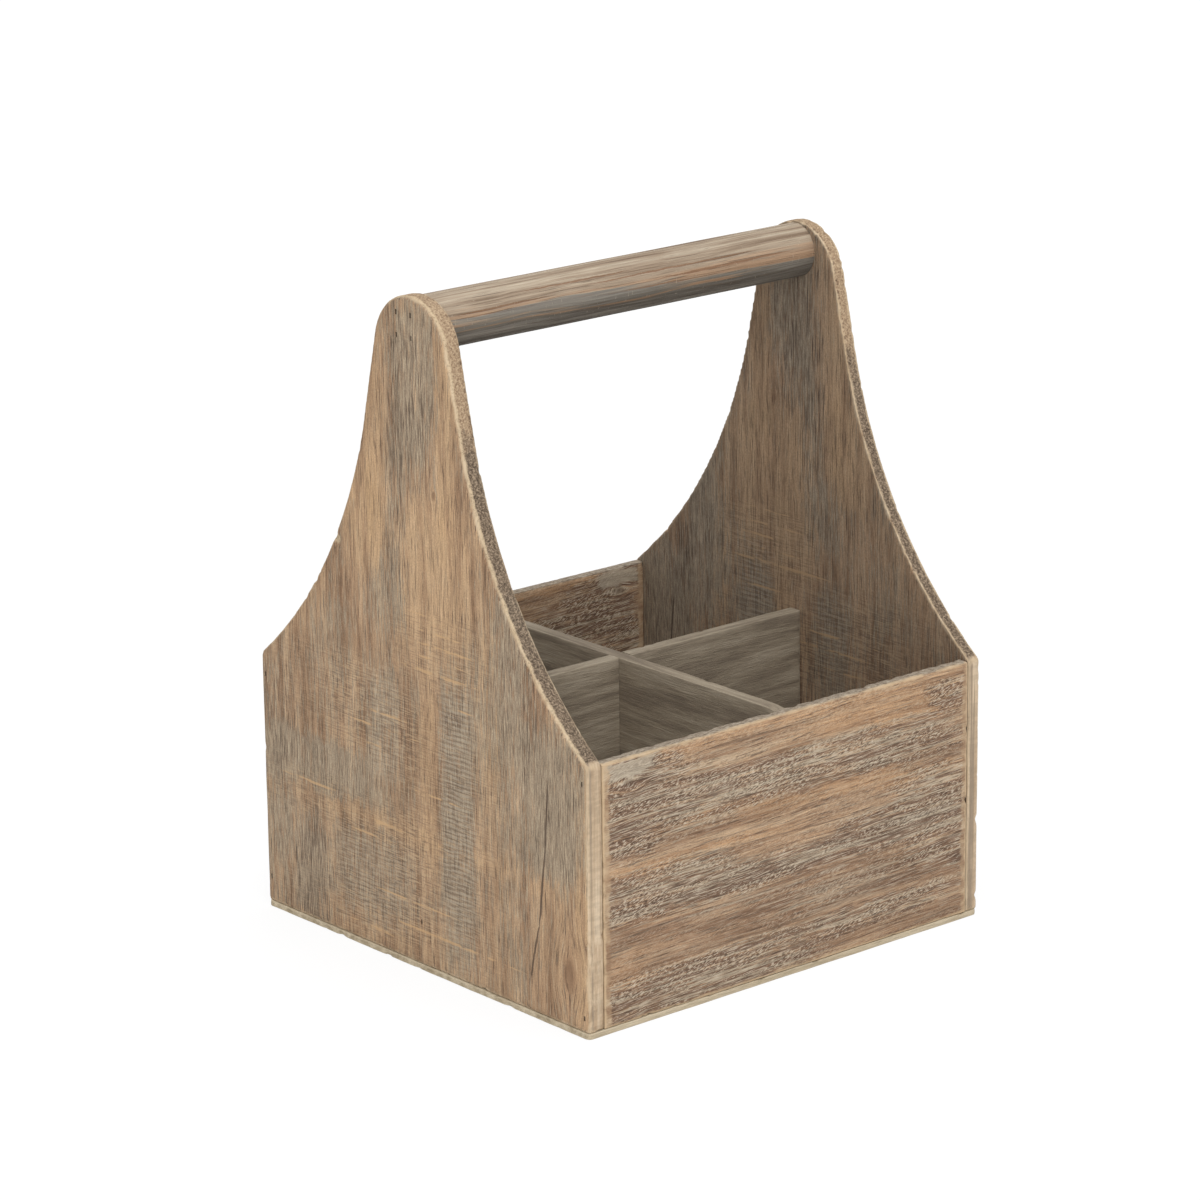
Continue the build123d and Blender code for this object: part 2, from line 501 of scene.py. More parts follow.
def make_handle(material):
    """The round rod, divided along its length only and furrowed more deeply than the boards."""
    bm = rod_blank(*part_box("handle"))
    tree = arris_tree(bm)[0]
    whole = 1.0
    divide(bm, (long_step, whole, whole))
    piece = put("handle_rod", bm)
    age(piece, tree, X, 91, wear=0.2 * mm, relief=0.3 * mm)
    finish_piece(piece, "handle", tree, material)


# Node building

def shade(red, green, blue):
    """A colour chip, each part from 0 to 255, as the linear values that nodes take."""
    return tuple(((part / 255 + 0.055) / 1.055) ** 2.4 for part in (red, green, blue)) + (1.0,)


white = (1.0, 1.0, 1.0, 1.0)


class Nodes:
    """Adds nodes to a material, a world or a shader group. Each call gives the new node's output."""

    def __init__(self, tree):
        self.tree = tree

    def add(self, kind, inputs=None, output=0, **settings):
        node = self.tree.nodes.new("ShaderNode" + kind)
        for name, value in settings.items():
            setattr(node, name, value)
        for name, value in (inputs or {}).items():
            self.feed(node.inputs[name], value)
        return node.outputs[output]

    def feed(self, socket, value):
        if isinstance(value, bpy.types.NodeSocket):
            self.tree.links.new(value, socket)
        else:
            socket.default_value = value

    def math(self, operation, first, second=0.0):
        return self.add("Math", {0: first, 1: second}, operation=operation)

    def plus(self, first, *others):
        for other in others:
            first = self.math("ADD", first, other)
        return first

    def less(self, first, second):
        return self.math("SUBTRACT", first, second)

    def gap(self, first, second):
        """How far apart two values are."""
        return self.math("ABSOLUTE", self.less(first, second))

    def product(self, first, *others):
        for other in others:
            first = self.math("MULTIPLY", first, other)
        return first

    def vector(self, operation, first, second):
        return self.add("VectorMath", {0: first, 1: second}, operation=operation)

    def parts(self, vector):
        return self.add("SeparateXYZ", {0: vector}).node.outputs

    def join(self, x, y, z):
        return self.add("CombineXYZ", {0: x, 1: y, 2: z})

    def spread(self, value, low, high, start=0.0, end=1.0, smooth=True):
        """Maps a value from low..high to start..end, held at both ends."""
        kind = "SMOOTHSTEP" if smooth else "LINEAR"
        inputs = {"Value": value, "From Min": low, "From Max": high, "To Min": start, "To Max": end}
        return self.add("MapRange", inputs, interpolation_type=kind)

    def mix(self, amount, under, over, mode="MIX"):
        inputs = {0: amount, 6: under, 7: over}
        return self.add("Mix", inputs, output=2, data_type="RGBA", blend_type=mode)

    def ramp(self, value, *stops):
        """Colours along a value, from pairs of a place and a colour."""
        colour = self.add("ValToRGB", {0: value})
        elements = colour.node.color_ramp.elements
        elements.remove(elements[1])
        elements[0].position, elements[0].color = stops[0][0], shade(*stops[0][1])
        for place, shown in stops[1:]:
            elements.new(place).color = shade(*shown)
        return colour

    def noise(self, where, sizes, detail=2.0, roughness=0.5, shift=0.0, output=0):
        """Noise whose grains have these three sizes."""
        scale = tuple(1 / size for size in sizes)
        moved = (shift, shift * 0.7, shift * 1.3)
        placed = self.add("Mapping", {"Vector": where, "Scale": scale, "Location": moved})
        inputs = {"Vector": placed, "Scale": 1.0, "Detail": detail, "Roughness": roughness}
        return self.add("TexNoise", inputs, output=output)

    def use(self, group, output, **inputs):
        """Places a group, with its inputs by name."""
        node = self.tree.nodes.new("ShaderNodeGroup")
        node.node_tree = group
        for name, value in inputs.items():
            self.feed(node.inputs[name], value)
        return node.outputs[output]

    def end(self, shader, kind="Material"):
        """Joins a shader to the output."""
        output = self.tree.nodes.new("ShaderNodeOutput" + kind)
        self.tree.links.new(shader, output.inputs["Surface"])


def bare_tree(owner):
    """Clears a material or a world, and gives its node tree to build on."""
    owner.use_nodes = True
    owner.node_tree.nodes.clear()
    return owner.node_tree


def new_group(name, inputs, output):
    """A shader group with its sockets. Gives its tree, its nodes, its inputs and where it ends."""
    tree = bpy.data.node_groups.new(name, "ShaderNodeTree")
    kinds = {float: "NodeSocketFloat", tuple: "NodeSocketVector"}
    for label, value in inputs.items():
        socket = tree.interface.new_socket(label, in_out="INPUT", socket_type=kinds[type(value)])
        socket.default_value = value
    tree.interface.new_socket(output, in_out="OUTPUT", socket_type="NodeSocketFloat")
    entry = tree.nodes.new("NodeGroupInput").outputs
    leave = tree.nodes.new("NodeGroupOutput").inputs[output]
    return tree, Nodes(tree), entry, leave


origin = (0.0, 0.0, 0.0)


def streak_group():
    """Streaks along the grain, given their width, length, slant, how far they wander and a seed."""
    inputs = {"Board": origin, "Width": 1.0, "Length": 30.0, "Slant": 0.0, "Wander": 0.0}
    inputs.update({"Seed": 0.0, "Detail": 3.0, "Rough": 0.55})
    tree, nodes, entry, leave = new_group("grain streaks", inputs, "Value")
    across, depth, grain = nodes.parts(entry["Board"])
    sway = nodes.noise(entry["Board"], (16, 16, 55), detail=1.0)
    sway = nodes.product(nodes.less(sway, 0.5), entry["Wander"])
    lean = nodes.product(grain, entry["Slant"])
    shifted = nodes.plus(nodes.less(across, lean), sway)
    where = nodes.join(
        nodes.plus(nodes.math("DIVIDE", shifted, entry["Width"]), entry["Seed"]),
        nodes.math("DIVIDE", depth, entry["Width"]),
        nodes.plus(nodes.math("DIVIDE", grain, entry["Length"]), entry["Seed"]),
    )
    inputs = {"Vector": where, "Scale": 1.0, "Detail": entry["Detail"], "Roughness": entry["Rough"]}
    nodes.feed(leave, nodes.add("TexNoise", inputs))
    return tree


def patch_group():
    """A patch round a place on a board: 1 inside, fading over its border."""
    inputs = {"Board": origin, "Centre": origin, "Half": (1.0, 1.0, 1.0), "Soft": 0.4}
    tree, nodes, entry, leave = new_group("soft patch", inputs, "Mask")
    away = nodes.vector("DIVIDE", nodes.vector("SUBTRACT", entry["Board"], entry["Centre"]), entry["Half"])
    away = nodes.vector("MULTIPLY", away, away)
    away = nodes.vector("MULTIPLY", away, away)
    across, _, grain = nodes.parts(away)
    edge = nodes.math("POWER", nodes.plus(across, grain), 0.25)
    outside, inside = nodes.plus(entry["Soft"], 1.0), nodes.less(1.0, entry["Soft"])
    nodes.feed(leave, nodes.spread(edge, outside, inside))
    return tree


def line_group():
    """A thin line along the grain through a place, leaning by a slope and thinning towards its ends."""
    inputs = {"Board": origin, "Centre": origin, "Half": (1.0, 1.0, 1.0), "Slope": 0.0}
    tree, nodes, entry, leave = new_group("thin line", inputs, "Mask")
    across, _, grain = nodes.parts(nodes.vector("SUBTRACT", entry["Board"], entry["Centre"]))
    half_width, _, half_length = nodes.parts(entry["Half"])
    across = nodes.gap(across, nodes.product(grain, entry["Slope"]))
    grain = nodes.math("DIVIDE", nodes.math("ABSOLUTE", grain), half_length)
    width = nodes.product(half_width, nodes.spread(grain, 1.0, 0.3))
    line = nodes.spread(nodes.math("DIVIDE", across, nodes.plus(width, 0.02)), 1.0, 0.4)
    nodes.feed(leave, nodes.product(line, nodes.spread(grain, 1.0, 0.6)))
    return tree


def arris_group():
    """Worn arrises: 1 on an arris, falling off unevenly over a reach in millimetres."""
    inputs = {"Board": origin, "Distance": 10.0, "Reach": 2.0}
    tree, nodes, entry, leave = new_group("worn arris", inputs, "Mask")
    uneven = nodes.noise(entry["Board"], (5, 5, 11), detail=4.0, roughness=0.65)
    far = nodes.product(entry["Reach"], nodes.spread(uneven, 0.3, 0.7, 0.5, 1.5, smooth=False))
    nodes.feed(leave, nodes.spread(entry["Distance"], far, nodes.product(far, 0.25)))
    return tree


streaks = streak_group()
patch = patch_group()
thin_line = line_group()
worn_arris = arris_group()


class Wood(Nodes):
    """One board's finish in the making. Its order gives the axes across it, through it and along it."""

    def __init__(self, name, order, knots=()):
        self.material = bpy.data.materials.new(name)
        super().__init__(bare_tree(self.material))
        places = self.parts(self.add("TexCoord", output=3))
        scaled = [self.product(places[axis], 1 / mm) for axis in order]
        self.across, self.depth, self.grain = scaled
        self.flat = self.join(*scaled)
        self.colour = white
        self.distance = self.add("Attribute", attribute_name="arris", output=2)
        torn = self.noise(self.flat, (4, 4, 9), detail=4.0, roughness=0.65, output=1)
        torn = self.vector("SUBTRACT", torn, (0.5, 0.5, 0.5))
        self.torn = self.vector("ADD", self.flat, self.vector("MULTIPLY", torn, (9.0, 0.0, 26.0)))
        self.frayed = self.vector("ADD", self.flat, self.vector("MULTIPLY", torn, (1.2, 0.0, 6.0)))
        self.hearts = 0.0
        flowing = self.across
        for across, along, half_width, half_length in knots:
            away = self.less(self.across, across)
            reach = self.vector("SUBTRACT", self.frayed, (across, 0.0, along))
            reach = self.vector("MULTIPLY", reach, (1 / half_width, 0.0, 1 / half_length))
            reach = self.add("VectorMath", {0: reach}, output=1, operation="LENGTH")
            swell = self.product(self.spread(reach, 1.6, 0.0), 0.85)
            flowing = self.less(flowing, self.product(away, swell))
            self.hearts = self.plus(self.hearts, self.spread(reach, 0.5, 0.2))
        self.board = self.join(flowing, self.depth, self.grain)
        self.turned = self.join(self.grain, self.depth, self.across)

    def streaks(self, width, length, where=None, **more):
        return self.use(streaks, "Value", Board=where or self.board, Width=width, Length=length, **more)

    def saw_marks(self, pitch, reach, **more):
        """Marks square to the grain, left by the saw."""
        return self.streaks(pitch, reach, where=self.turned, **more)

    def rungs(self, pitch, broken):
        """Level saw lines at a nearly even pitch, from -1 to 1, broken up by a noise value."""
        sway = self.noise(self.flat, (14, 14, 22), detail=1.0)
        place = self.plus(self.grain, self.product(sway, 3.0), self.product(self.across, 0.04))
        wave = self.math("SINE", self.product(place, 2 * math.pi / pitch))
        return self.plus(wave, self.product(self.less(broken, 0.5), 7.0))

    def marks(self, places, softness=0.4):
        """How strongly a board is marked, from the place, half size and strength of each mark."""
        total = 0.0
        for across, along, half_width, half_length, strength in places:
            where = {"Centre": (across, 0.0, along), "Half": (half_width, 1.0, half_length)}
            mask = self.use(patch, "Mask", Board=self.torn, Soft=softness, **where)
            total = self.plus(total, self.product(mask, strength))
        return total

    def lines(self, places, level=False):
        """Thin lines, from the place, half size and slope of each. Level ones lie across the grain."""
        total = 0.0
        frayed = self.frayed
        if level:
            across, depth, grain = self.parts(self.frayed)
            calmer = self.plus(self.grain, self.product(self.less(grain, self.grain), 0.15))
            frayed = self.join(calmer, depth, across)
        for across, along, half_width, half_length, slope in places:
            where = {"Centre": (across, 0.0, along), "Half": (half_width, 1.0, half_length)}
            line = self.use(thin_line, "Mask", Board=frayed, Slope=slope, **where)
            total = self.math("MAXIMUM", total, line)
        return total

    def over(self, under, colour, *amounts):
        """Lays a colour over another, as strongly as the product of the amounts."""
        if isinstance(colour, tuple):
            colour = shade(*colour)
        return self.mix(self.product(*amounts), under, colour)

    def tint(self, colour, *amounts):
        """Lays a colour over the wood's own."""
        self.colour = self.over(self.colour, colour, *amounts)

    def times(self, colour, factor):
        return self.mix(1.0, colour, factor, "MULTIPLY")

    def vary(self, value, darkest, palest, low=0.3, high=0.7):
        """Darkens and lightens the wood with a noise value."""
        self.colour = self.times(self.colour, self.spread(value, low, high, darkest, palest, smooth=False))

    def worn(self, reach):
        return self.use(worn_arris, "Mask", Board=self.flat, Distance=self.distance, Reach=reach)

    def between(self, value, low, high, border):
        """1 where a value is well between two others, fading to 0 over a border before each."""
        after = self.spread(value, low, low + border)
        before = self.spread(value, high, high - border)
        return self.product(after, before)

    def done(self, height, roughness, relief):
        """Joins the colour, roughness and relief to the shader."""
        bump = self.add("Bump", {"Height": height, "Distance": relief, "Strength": 1.0})
        inputs = {"Base Color": self.colour, "Roughness": roughness, "Normal": bump}
        inputs["Specular IOR Level"] = 0.25
        self.end(self.add("BsdfPrincipled", inputs))
        return self.material


# Where time has marked the boards: across, along, half width, half length and strength, or slope for
# a line, in millimetres. On a gable, across is Y and along is Z. On a panel, across is Z and along is X.

gable_grey = [
    (-3, 272, 15, 34, 1.0), (2, 236, 9, 20, 0.5), (11, 200, 7, 34, 0.5), (20, 170, 12, 17, 0.7),
    (-62, 147, 12, 42, 1.1), (-27, 76, 11, 64, 1.2), (-44, 135, 8, 28, 0.7), (68, 80, 46, 12, 1.1),
    (34, 34, 27, 22, 0.7), (80, 27, 12, 20, 1.0), (-94, 98, 21, 33, 1.4), (-64, 50, 9, 46, 0.6),
    (24, 110, 12, 24, 0.7), (104, 58, 9, 30, 0.6), (64, 140, 14, 18, 0.5),
]
gable_warm = [
    (27, 235, 8, 48, 0.9), (-24, 248, 7, 46, 1.0), (36, 203, 13, 26, 1.0), (-17, 190, 26, 28, 1.0),
    (-18, 152, 30, 15, 0.7), (-8, 92, 6, 40, 1.2), (-52, 140, 5, 50, 0.8), (10, 62, 104, 5, 0.8),
    (30, 12, 44, 8, 0.6), (-110, 66, 5, 62, 0.9), (-98, 34, 15, 28, 0.5), (-58, 26, 9, 26, 0.5),
    (92, 34, 22, 36, -0.8), (104, 108, 12, 16, -0.5), (44, 114, 24, 12, -0.5), (78, 154, 18, 20, 0.3),
    (-76, 150, 5, 30, -0.6),
]
gable_sawn = [
    (-18, 152, 34, 17, 0.9), (35, 112, 34, 22, 0.8), (-22, 66, 38, 64, 0.8), (58, 62, 60, 11, 0.9),
    (30, 32, 36, 26, 0.9), (66, 18, 48, 15, 0.5), (70, 118, 34, 22, 0.5),
]
gable_rungs = [(-27, 77, 11, 62, 1.0), (24, 110, 11, 25, 0.5), (34, 34, 26, 22, 0.6)]
gable_dark = [
    (80, 24, 12, 26, 0.9), (13, 214, 7, 42, 0.6), (-78, 148, 6, 26, 0.7), (-26, 124, 8, 2, 1.2),
    (100, 92, 12, 22, 0.5), (0, 274, 13, 26, 0.45), (-4, 238, 7, 20, 0.35),
]
gable_saw_lines = [
    (140.5, -13, 1.0, 46, 0.0), (114, 31, 0.8, 34, 0.0), (107, 24, 0.7, 32, 0.0), (62, 19, 1.5, 50, 0.01),
    (55, 32, 0.7, 30, 0.0), (19, -22, 0.9, 60, 0.0), (128, -24, 0.7, 20, 0.0), (166, -18, 0.6, 27, 0.0),
    (159, -14, 0.6, 25, 0.0), (153, -20, 0.8, 29, 0.0), (147, -15, 0.6, 26, 0.0), (98, 36, 0.6, 22, 0.0),
    (69, 76, 0.8, 30, 0.0), (11, 26, 1.0, 34, 0.0), (31, 4, 0.6, 40, 0.0), (84, -12, 0.6, 22, 0.0),
]
gable_cracks = [(-87.5, 94, 0.8, 22, -0.09), (-84, 61, 0.95, 24, -0.12), (-78.6, 31, 0.85, 17, -0.24)]
gable_knots = [(-102, 26, 12, 19), (-15, 221, 4, 6)]

panel_grey = [
    (118, -93, 4.5, 15, 1.8), (95, 15, 9, 72, 1.1), (54, 0, 5, 104, 0.8), (64, -72, 6, 34, 0.9),
    (19, 0, 4, 92, 0.9), (8.5, -50, 6, 62, 0.8), (66, 88, 14, 24, 0.7), (96, -66, 16, 30, 0.4),
    (34, 40, 7, 60, 0.3), (106, 98, 4, 12, 0.6),
]
panel_dark = [
    (108, -88, 8, 15, 0.7), (96, -80, 9, 22, 0.8), (86, -94, 9, 13, 0.9), (92, -62, 7, 10, 0.5),
    (52, -40, 5, 64, 1.1), (56, 70, 9, 40, 1.0), (17, -10, 5, 92, 0.7), (32, 104, 2.5, 6, 2.2),
    (8, -88, 7, 22, 0.6), (113, -74, 6, 14, 0.8), (112, 96, 5, 12, 0.6), (40, 92, 8, 20, 0.5),
    (88, 70, 4, 40, 0.4),
]
panel_warm = [
    (86, -58, 2.6, 44, 1.0), (81, 20, 3.0, 46, 1.1), (76.5, 84, 2.6, 30, 1.0), (70.5, -58, 2.4, 48, 1.1),
    (110, 62, 7, 48, 1.0), (48.5, -80, 1.8, 26, 1.2), (28, -94, 12, 14, 0.6), (120, 0, 2.5, 108, 0.8),
    (34, 0, 8, 100, -0.5), (54, 0, 6, 104, -0.8), (9, -40, 6, 70, -0.6), (96, -84, 15, 24, -0.8),
]
panel_pale_lines = [
    (42.5, -24, 0.6, 62, 0.0), (43.6, 26, 1.5, 12, 0.02), (57, 80, 0.9, 30, 0.01), (23, -54, 0.6, 44, 0.0),
    (67, 78, 0.7, 22, 0.03), (101, 6, 0.8, 26, 0.03), (34.5, 92, 0.7, 16, 0.03), (14.5, -60, 0.5, 38, 0.0),
    (91, -20, 0.6, 20, -0.05), (47, 40, 0.6, 30, 0.0),
]
panel_dark_lines = [
    (116, -16, 0.7, 44, 0.0), (87.5, 20, 0.5, 86, -0.06), (68, -20, 0.5, 84, -0.03), (45.4, 18, 0.5, 60, 0.0),
    (25, -30, 0.5, 64, 0.0), (13, 10, 0.5, 80, -0.01), (60, 40, 0.5, 50, 0.0), (31, 60, 0.5, 40, 0.01),
]
handle_cracks = [
    (297.5, -74, 0.5, 34, 0.012), (295.2, -50, 0.8, 52, -0.01), (299.5, 24, 0.5, 60, 0.006),
    (296.4, 56, 0.7, 50, 0.012), (293.6, 4, 0.5, 44, -0.008), (301.5, -30, 0.4, 40, 0.0),
]
panel_knots = [(111, -93, 5, 9), (31.5, 104, 2.4, 6)]


def turned_over(places):
    """Marks mirrored across the board, for its twin."""
    return [(-across, *rest) for across, *rest in places]


def turned_round(places):
    """Marks mirrored along the board, for its twin."""
    return [(across, -along, *rest) for across, along, *rest in places]


def aged(wood, seed, length, grey, dark, slant=0.0):
    """Grey weathered fibres over clean wood, then dark and pale hair lines. Gives their relief."""
    worn = wood.streaks(0.8, length, Seed=seed + 1, Wander=4.0, Slant=slant, Detail=5.0, Rough=0.75)
    fleck = wood.streaks(0.5, length * 0.5, Seed=seed + 2, Slant=slant, Detail=4.0, Rough=0.72)
    silver = wood.ramp(fleck, (0.38, (126, 111, 94)), (0.5, (153, 139, 119)), (0.62, (180, 166, 143)))
    cover = wood.spread(wood.plus(worn, wood.product(grey, 0.13)), 0.5, 0.62, 0.0, 0.8)
    wood.tint(silver, cover)
    groove = wood.streaks(0.45, length * 0.9, Seed=seed + 3, Wander=2.0, Slant=slant, Rough=0.62)
    deep = wood.spread(wood.plus(groove, wood.product(dark, 0.1)), 0.55, 0.65, 0.0, 0.78)
    wood.tint((94, 77, 64), deep)
    raised = wood.spread(groove, 0.44, 0.32, 0.0, 0.4)
    wood.tint((198, 174, 144), raised)
    fine = wood.streaks(0.5, length * 1.6, Seed=seed + 4, Wander=3.0, Rough=0.75)
    wood.vary(fine, 0.75, 1.25)
    cloud = wood.noise(wood.torn, (18, 18, 34), detail=3.0, roughness=0.6)
    wood.vary(cloud, 0.91, 1.09, 0.34, 0.66)
    grit = wood.noise(wood.flat, (0.6, 0.6, 0.8), roughness=0.7)
    wood.vary(grit, 0.82, 1.18)
    furrow = wood.spread(groove, 0.56, 0.7, 0.0, -0.3)
    return wood.plus(wood.product(fine, 0.6), wood.product(worn, 0.4), furrow)


def sawn(wood, seed, side, level):
    """Level marks of the saw: scattered scratches, a ladder of even ones, and single long ones."""
    saw = wood.saw_marks(0.6, 9.0, Seed=seed + 5, Rough=0.68)
    area = wood.marks(side(gable_sawn))
    wood.tint((190, 164, 131), wood.spread(saw, 0.53, 0.6), area, 0.45)
    wood.tint((114, 96, 80), wood.spread(saw, 0.46, 0.39), area, 0.45)
    rungs = wood.rungs(2.3, saw)
    ladder = wood.marks(side(gable_rungs))
    wood.tint((172, 161, 144), wood.spread(rungs, 0.1, 0.9), ladder, 0.5)
    wood.tint((118, 102, 86), wood.spread(rungs, -0.4, -1.0), ladder, 0.5)
    broken = wood.spread(wood.saw_marks(3.0, 12.0, Seed=seed + 9), 0.46, 0.56)
    wood.tint((200, 165, 124), wood.lines(level, level=True), broken, 0.75)
    return wood.product(saw, area)


def slope_grain(wood, rim, outer_face, inner_face, high, seed):
    """Speckled end grain along the slopes, tan round the crown, pale outside and cracked at the handle."""
    speckle = wood.noise(wood.flat, (0.9, 1.0, 0.9), detail=3.0, roughness=0.75)
    grain = wood.ramp(speckle, (0.38, (70, 58, 48)), (0.5, (110, 95, 79)), (0.62, (160, 141, 119)))
    patchy = wood.noise(wood.flat, (5, 6, 8), detail=3.0, roughness=0.6)
    level = wood.plus(wood.grain, wood.product(patchy, 50.0))
    crown = wood.spread(level, high.z / mm - 42, high.z / mm - 22)
    tan = wood.ramp(speckle, (0.36, (134, 110, 87)), (0.5, (172, 146, 117)), (0.62, (196, 172, 142)))
    grain = wood.over(grain, tan, crown, 0.85)
    from_outside = wood.gap(wood.depth, outer_face)
    pale = wood.spread(wood.plus(from_outside, wood.product(patchy, 3.0)), 3.9, 2.7)
    grain = wood.over(grain, (206, 184, 152), pale, wood.spread(speckle, 0.36, 0.46, 0.35, 0.85))
    from_inside = wood.gap(wood.depth, inner_face)
    cracks = wood.noise(wood.flat, (3.0, 3.0, 1.4), detail=3.0, shift=seed)
    cracks = wood.product(wood.spread(cracks, 0.53, 0.6), wood.spread(from_inside, 2.6, 1.2), crown)
    grain = wood.over(grain, (84, 62, 48), cracks, 0.8)
    wood.tint(grain, rim, 0.94)


def upright_grain(wood, rim, high, vein, seed):
    """The gable's upright edges: pale wood with soft cross bands and one greyish vein along them."""
    upright = wood.spread(wood.math("ABSOLUTE", wood.across), high.y / mm - 2.4, high.y / mm - 1.2)
    growth = wood.streaks(2.2, 90.0, Seed=seed + 6, Detail=4.0)
    pale = wood.ramp(growth, (0.34, (176, 150, 122)), (0.5, (198, 174, 145)), (0.66, (214, 193, 165)))
    bands = wood.noise(wood.flat, (9, 9, 2.2), detail=3.0)
    pale = wood.times(pale, wood.spread(bands, 0.35, 0.62, 0.88, 1.05))
    place, half_width = vein
    grey = wood.spread(wood.gap(wood.depth, place), half_width + 0.6, half_width)
    pale = wood.over(pale, (148, 133, 115), grey, wood.spread(growth, 0.6, 0.45), 0.75)
    wood.tint(pale, upright, rim, 0.92)


def gable_wood(name, node, seed, vein, flip=False):
    """Upright grain, grey and tan areas, saw marks, a crack, and end grain round the outline, with painted
    shade on the inner face.
    """
    side = turned_over if flip else list
    wood = Wood(name, (Y, X, Z), side(gable_knots))
    low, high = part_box(node)
    face_low, face_high = low.x / mm, high.x / mm
    fibre = wood.streaks(5.0, 80.0, Seed=seed, Wander=6.0, Detail=5.0, Rough=0.62)
    warm = wood.marks(side(gable_warm))
    clean = wood.plus(fibre, wood.product(warm, 0.05))
    tones = (0.36, (138, 109, 84)), (0.47, (160, 130, 102)), (0.56, (173, 143, 113)), (0.68, (191, 162, 130))
    wood.colour = wood.ramp(clean, *tones)
    glow = wood.product(wood.math("MAXIMUM", warm, 0.0), wood.spread(fibre, 0.4, 0.6, 0.12, 0.42))
    wood.tint((186, 152, 114), glow)
    grey = wood.less(wood.marks(side(gable_grey)), wood.product(warm, 0.5))
    height = aged(wood, seed, 14.0, grey, wood.marks(side(gable_dark)))
    level = turned_round(gable_saw_lines) if flip else gable_saw_lines
    scored = sawn(wood, seed, side, level)
    wood.tint((84, 68, 56), wood.lines(side(gable_cracks)), 0.85)
    wood.tint((122, 94, 72), wood.hearts, 0.6)

    rim = wood.between(wood.depth, face_low + 0.3, face_high - 0.3, 0.7)
    inner_face, outer_face = (face_high, face_low) if face_low < 0 else (face_low, face_high)
    slope_grain(wood, rim, outer_face, inner_face, high, seed)
    upright_grain(wood, rim, high, vein, seed)
    rubbed = wood.ramp(fibre, (0.4, (186, 162, 131)), (0.6, (214, 194, 164)))
    wood.tint(rubbed, wood.worn(1.6), 0.78)
    # Painted shade: both gables' inner faces are darkened and cooled here, standing in for the shade inside
    # the caddy.
    inside = wood.spread(wood.gap(wood.depth, inner_face), 0.5, 0.2)
    wood.colour = wood.times(wood.colour, wood.mix(inside, white, shade(204, 206, 210)))
    height = wood.plus(height, wood.product(scored, 0.3))
    roughness = wood.spread(fibre, 0.3, 0.7, 0.92, 0.74)
    return wood.done(height, roughness, brushed_relief)


def flecked(wood, seed, busy):
    """Narrow dark and pale strips with short and longer flecks in them. Gives the flecks."""
    strip = wood.streaks(1.7, 75.0, Seed=seed + 10, Wander=3.0, Rough=0.6)
    wood.tint((122, 96, 79), wood.spread(strip, 0.5, 0.46), busy, 0.7)
    wood.tint((180, 165, 143), wood.spread(strip, 0.53, 0.56), busy, 0.6)
    short = wood.streaks(0.6, 2.3, Seed=seed + 7, Slant=0.3, Detail=2.0, Rough=0.6)
    long = wood.streaks(0.5, 10.0, Seed=seed + 9, Slant=0.06, Wander=2.0, Detail=4.0, Rough=0.68)
    where = wood.spread(wood.noise(wood.torn, (4, 4, 30)), 0.46, 0.54)
    ripple = wood.plus(wood.product(short, wood.less(1.0, where)), wood.product(long, where))
    wood.tint((82, 65, 54), wood.spread(ripple, 0.47, 0.42), busy, 0.7)
    wood.tint((199, 184, 163), wood.spread(ripple, 0.535, 0.58), busy, 0.8)
    return ripple


